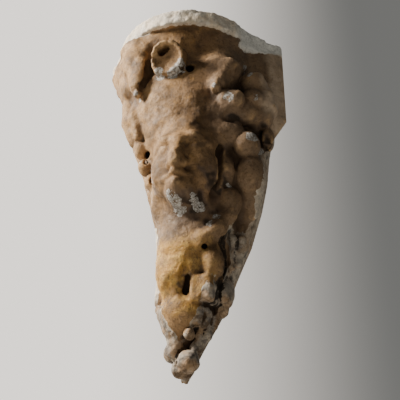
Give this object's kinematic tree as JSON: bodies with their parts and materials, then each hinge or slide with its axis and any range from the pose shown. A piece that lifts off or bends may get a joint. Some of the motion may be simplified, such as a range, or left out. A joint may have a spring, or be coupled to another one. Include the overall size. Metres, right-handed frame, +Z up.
{
  "type": "carved stone corbel",
  "caption": "Carved stone corbel with a veiled head over an acanthus leaf, a half-round abacus on top and a flat back that is built into a wall.",
  "frame": {"origin": "on the flat back face, at its mid-width, 105 mm below the flat top", "axes": "+Y out of the back face into the wall, +Z up to the flat top, +X to the right as seen from the front"},
  "size_m": [0.229, 0.1154, 0.42],
  "materials": {
    "stone": "weathered carved stone under worn ochre and brown paint layers, with bare cream stone, grey crust and pale chips at the foot and edges"
  },
  "bodies": {
    "root": {"corbel": "stone"}
  },
  "joints": []
}
